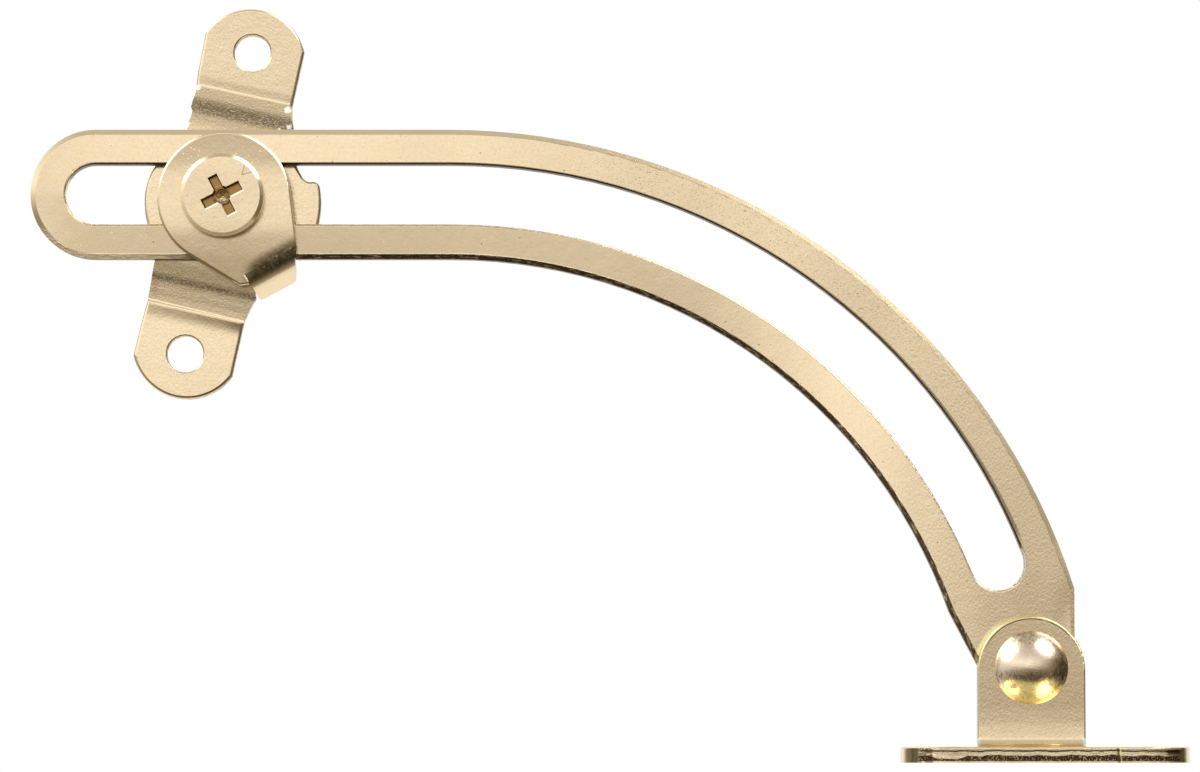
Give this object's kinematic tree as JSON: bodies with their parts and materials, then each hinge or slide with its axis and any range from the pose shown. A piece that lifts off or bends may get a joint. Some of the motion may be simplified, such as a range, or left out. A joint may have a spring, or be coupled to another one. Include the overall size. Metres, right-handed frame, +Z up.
{
  "type": "lid stay",
  "caption": "Brass-plated lid stay: curved slotted arm with an adjustable friction clamp on a joggled case bracket and a riveted L-shaped lid bracket.",
  "frame": {"origin": "middle of the two screw holes of the case bracket, on the face that lies against the cabinet side", "axes": "+X along the straight part of the slot towards the lid bracket, +Z up, +Y into the cabinet side; the stay stands off towards -Y"},
  "size_m": [0.144, 0.0206, 0.095],
  "materials": {
    "arm_plating": "satin brass plating on pressed steel",
    "bracket_plating": "satin brass plating on pressed steel",
    "plate_plating": "satin brass plating on pressed steel",
    "screw_plating": "bright brass plating on a turned steel screw",
    "nut_plating": "bright brass plating on steel",
    "bush_nylon": "natural nylon",
    "rivet_plating": "polished brass plating on a domed rivet"
  },
  "bodies": {
    "clamp_base": {"case_bracket": "bracket_plating", "pressure_plate": "plate_plating", "clamp_nut": "nut_plating"},
    "screw": {"clamp_screw": "screw_plating"},
    "bush": {"slot_bush": "bush_nylon"},
    "arm": {"slotted_arm": "arm_plating"},
    "lid_side": {"lid_bracket": "bracket_plating", "pivot_rivet": "rivet_plating"}
  },
  "joints": [
    {"name": "clamp_screw_turn", "type": "hinge", "parent": "clamp_base", "child": "screw", "pos_m": [0.00095, -0.008, 0.00025], "axis": [0, -1, 0], "range_deg": [-45, 300]},
    {"name": "arm_swivel", "type": "hinge", "parent": "clamp_base", "child": "bush", "pos_m": [0.00095, -0.0055, 0.00025], "axis": [0, -1, 0], "range_deg": [0, 60]},
    {"name": "arm_slide", "type": "slide", "parent": "bush", "child": "arm", "axis": [1, 0, 0], "range_m": [-0.0225, 0.0162]},
    {"name": "lid_bracket_pivot", "type": "hinge", "parent": "arm", "child": "lid_side", "pos_m": [0.1017, -0.0066, -0.0586], "axis": [0, -1, 0], "continuous": true}
  ]
}
